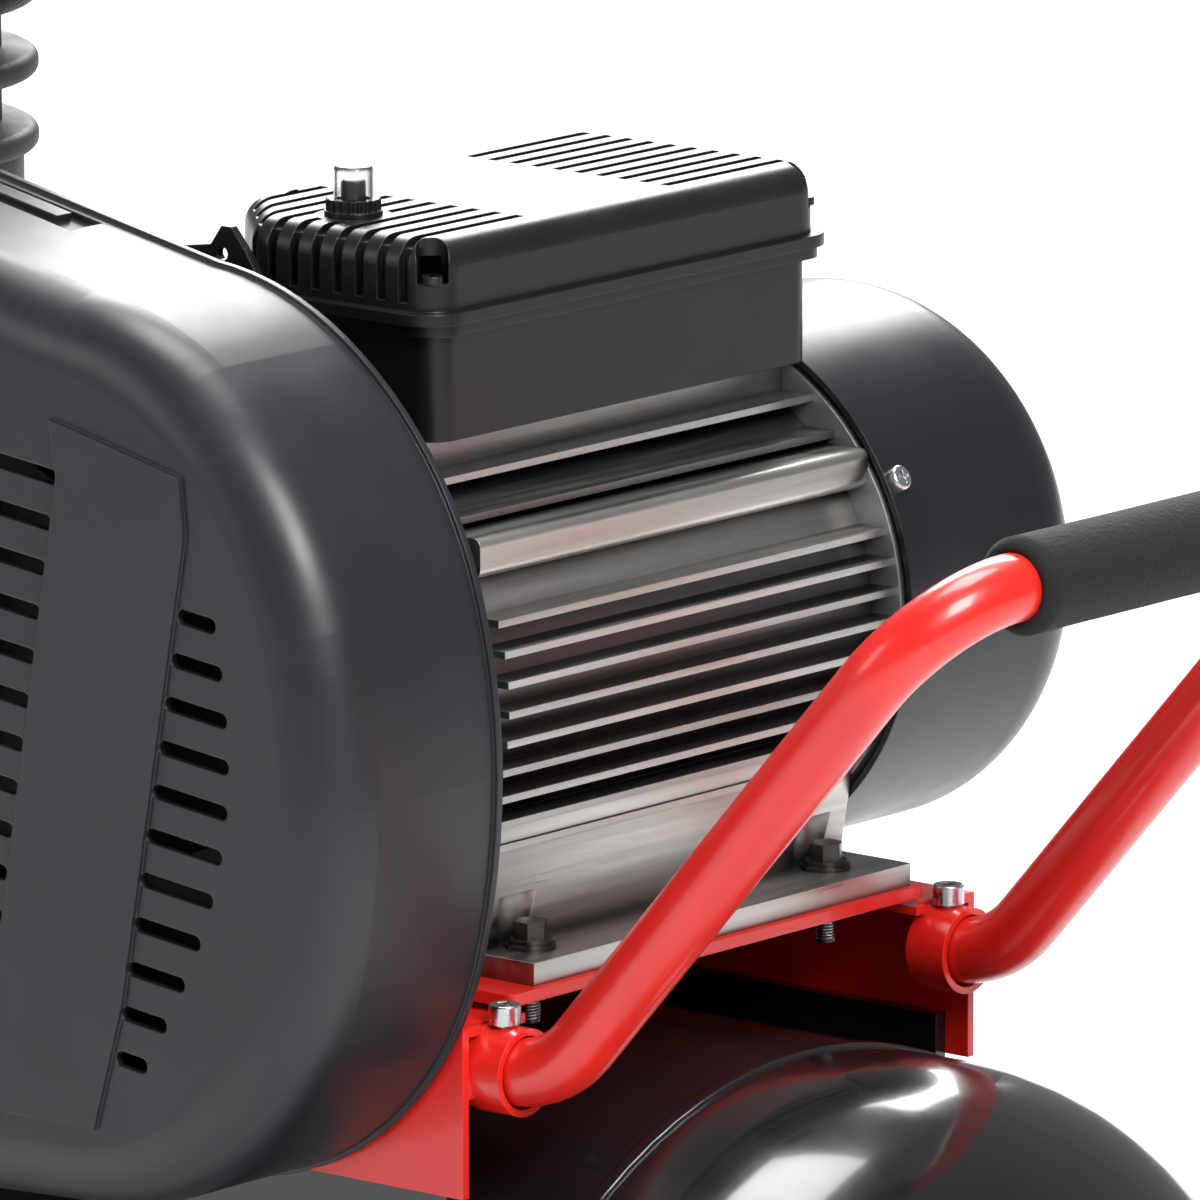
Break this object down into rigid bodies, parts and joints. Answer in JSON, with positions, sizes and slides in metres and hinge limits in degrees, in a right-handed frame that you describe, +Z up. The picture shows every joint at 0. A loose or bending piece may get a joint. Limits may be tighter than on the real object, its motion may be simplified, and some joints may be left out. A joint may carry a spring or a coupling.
{
  "type": "air compressor",
  "caption": "Wheeled belt-driven piston air compressor: horizontal tank, electric motor and pump on a platform, slotted belt guard, tubular pull handle.",
  "frame": {"origin": "on the floor, under the middle of the machine's box", "axes": "+X along the tank towards the pull handle, +Y along the motor shaft away from the belt guard, +Z up"},
  "size_m": [1.0326, 0.442, 0.876],
  "materials": {
    "red_paint": "gloss",
    "tank_paint": "gloss",
    "guard_plastic": "satin",
    "black_plastic": "satin",
    "fan_cover_paint": "satin",
    "bare_aluminium": "extruded, satin",
    "cast_aluminium": "cast",
    "cast_iron": "cast, painted dark grey",
    "zinc_steel": "zinc plated",
    "dark_steel": "blackened",
    "plain_steel": "machined",
    "piston_alloy": "machined",
    "capacitor_case": "satin",
    "fan_plastic": "matt",
    "boot_plastic": "clear soft plastic",
    "red_plastic": "gloss",
    "foam": "matt closed-cell foam",
    "rubber": "matt",
    "tyre_rubber": "matt",
    "wheel_paint": "satin",
    "brass": "satin",
    "copper": "satin",
    "gauge_case": "gloss"
  },
  "bodies": {
    "root": {"axle": "zinc_steel", "axle_brackets": "tank_paint", "box_base": "black_plastic", "box_lid": "black_plastic", "button_boot": "boot_plastic", "button_nut": "black_plastic", "cable_glands": "black_plastic", "capacitors": "capacitor_case", "clamp_screws": "zinc_steel", "crankcase": "cast_iron", "cylinder": "cast_iron", "cylinder_head": "cast_aluminium", "delivery_pipe": "copper", "drain_valve": "brass", "fan_cover": "fan_cover_paint", "fan_cover_screws": "zinc_steel", "foot_bolts": "dark_steel", "foot_bracket": "tank_paint", "front_shield": "cast_aluminium", "gauge": "gauge_case", "grip": "foam", "guard_back": "black_plastic", "guard_cover": "guard_plastic", "guard_stay": "fan_cover_paint", "handle": "red_paint", "handle_sockets": "red_paint", "head_bolts": "zinc_steel", "intake_filter": "black_plastic", "lid_screws": "dark_steel", "manifold": "brass", "motor_body": "bare_aluminium", "motor_lead": "rubber", "platform": "red_paint", "pressure_switch": "black_plastic", "rear_shield": "cast_aluminium", "rubber_feet": "rubber", "shaft_bearings": "plain_steel", "side_plates": "red_paint", "stator": "plain_steel", "tank": "tank_paint", "v_belt": "rubber"},
    "crank": {"crankshaft": "plain_steel", "flywheel": "cast_iron"},
    "rotor": {"motor_shaft": "plain_steel", "rotor_core": "plain_steel", "cooling_fan": "fan_plastic", "motor_pulley": "cast_iron"},
    "piston": {"piston": "piston_alloy", "conrod": "plain_steel"},
    "wheel_near": {"wheel_rim_near": "wheel_paint", "tyre_near": "tyre_rubber"},
    "wheel_far": {"wheel_rim_far": "wheel_paint", "tyre_far": "tyre_rubber"},
    "reset_button": {"reset_button": "black_plastic"},
    "switch_knob": {"switch_knob": "red_plastic"},
    "regulator_knob": {"regulator_knob": "black_plastic"},
    "gauge_needle": {"gauge_needle": "red_plastic"},
    "safety_stem": {"safety_stem": "zinc_steel"},
    "coupler_sleeve": {"coupler_sleeve": "zinc_steel"},
    "drain_knob": {"drain_knob": "black_plastic"}
  },
  "joints": [
    {"name": "crank_spin", "type": "hinge", "parent": "root", "child": "crank", "pos_m": [-0.04135, -0.09, 0.629], "axis": [0, 1, 0], "continuous": true},
    {"name": "rotor_spin", "type": "hinge", "parent": "root", "child": "rotor", "pos_m": [0.23565, -0.09, 0.615], "axis": [0, 1, 0], "continuous": true},
    {"name": "piston_stroke", "type": "slide", "parent": "root", "child": "piston", "axis": [0, 0, 1], "range_m": [0, 0.06]},
    {"name": "wheel_near_spin", "type": "hinge", "parent": "root", "child": "wheel_near", "pos_m": [-0.36435, -0.19, 0.105], "axis": [0, 1, 0], "continuous": true},
    {"name": "wheel_far_spin", "type": "hinge", "parent": "root", "child": "wheel_far", "pos_m": [-0.36435, 0.19, 0.105], "axis": [0, 1, 0], "continuous": true},
    {"name": "reset_button_push", "type": "slide", "parent": "root", "child": "reset_button", "axis": [0, 0, -1], "range_m": [0, 0.0025], "stiffness_N_per_m": 400, "springref_m": -0.0005},
    {"name": "switch_knob_pull", "type": "slide", "parent": "root", "child": "switch_knob", "axis": [0, 0, 1], "range_m": [0, 0.006]},
    {"name": "regulator_turn", "type": "hinge", "parent": "root", "child": "regulator_knob", "pos_m": [-0.25435, 0.062, 0.554], "axis": [0, 0, 1], "range_deg": [-180, 180]},
    {"name": "gauge_needle_turn", "type": "hinge", "parent": "root", "child": "gauge_needle", "pos_m": [-0.29835, 0.062, 0.527], "axis": [1, 0, 0], "range_deg": [0, 270], "stiffness_Nm_per_rad": 0.0001},
    {"name": "safety_stem_pull", "type": "slide", "parent": "root", "child": "safety_stem", "axis": [0, 0, 1], "range_m": [0, 0.003], "stiffness_N_per_m": 600},
    {"name": "coupler_sleeve_slide", "type": "slide", "parent": "root", "child": "coupler_sleeve", "axis": [0, -1, 0], "range_m": [0, 0.005], "stiffness_N_per_m": 500},
    {"name": "drain_knob_turn", "type": "hinge", "parent": "root", "child": "drain_knob", "pos_m": [-0.06435, 0, 0.094], "axis": [0, 0, 1], "range_deg": [0, 180]}
  ],
  "couplings": [
    {"joint": "rotor_spin", "follows": "crank_spin", "ratio": 3.5}
  ]
}
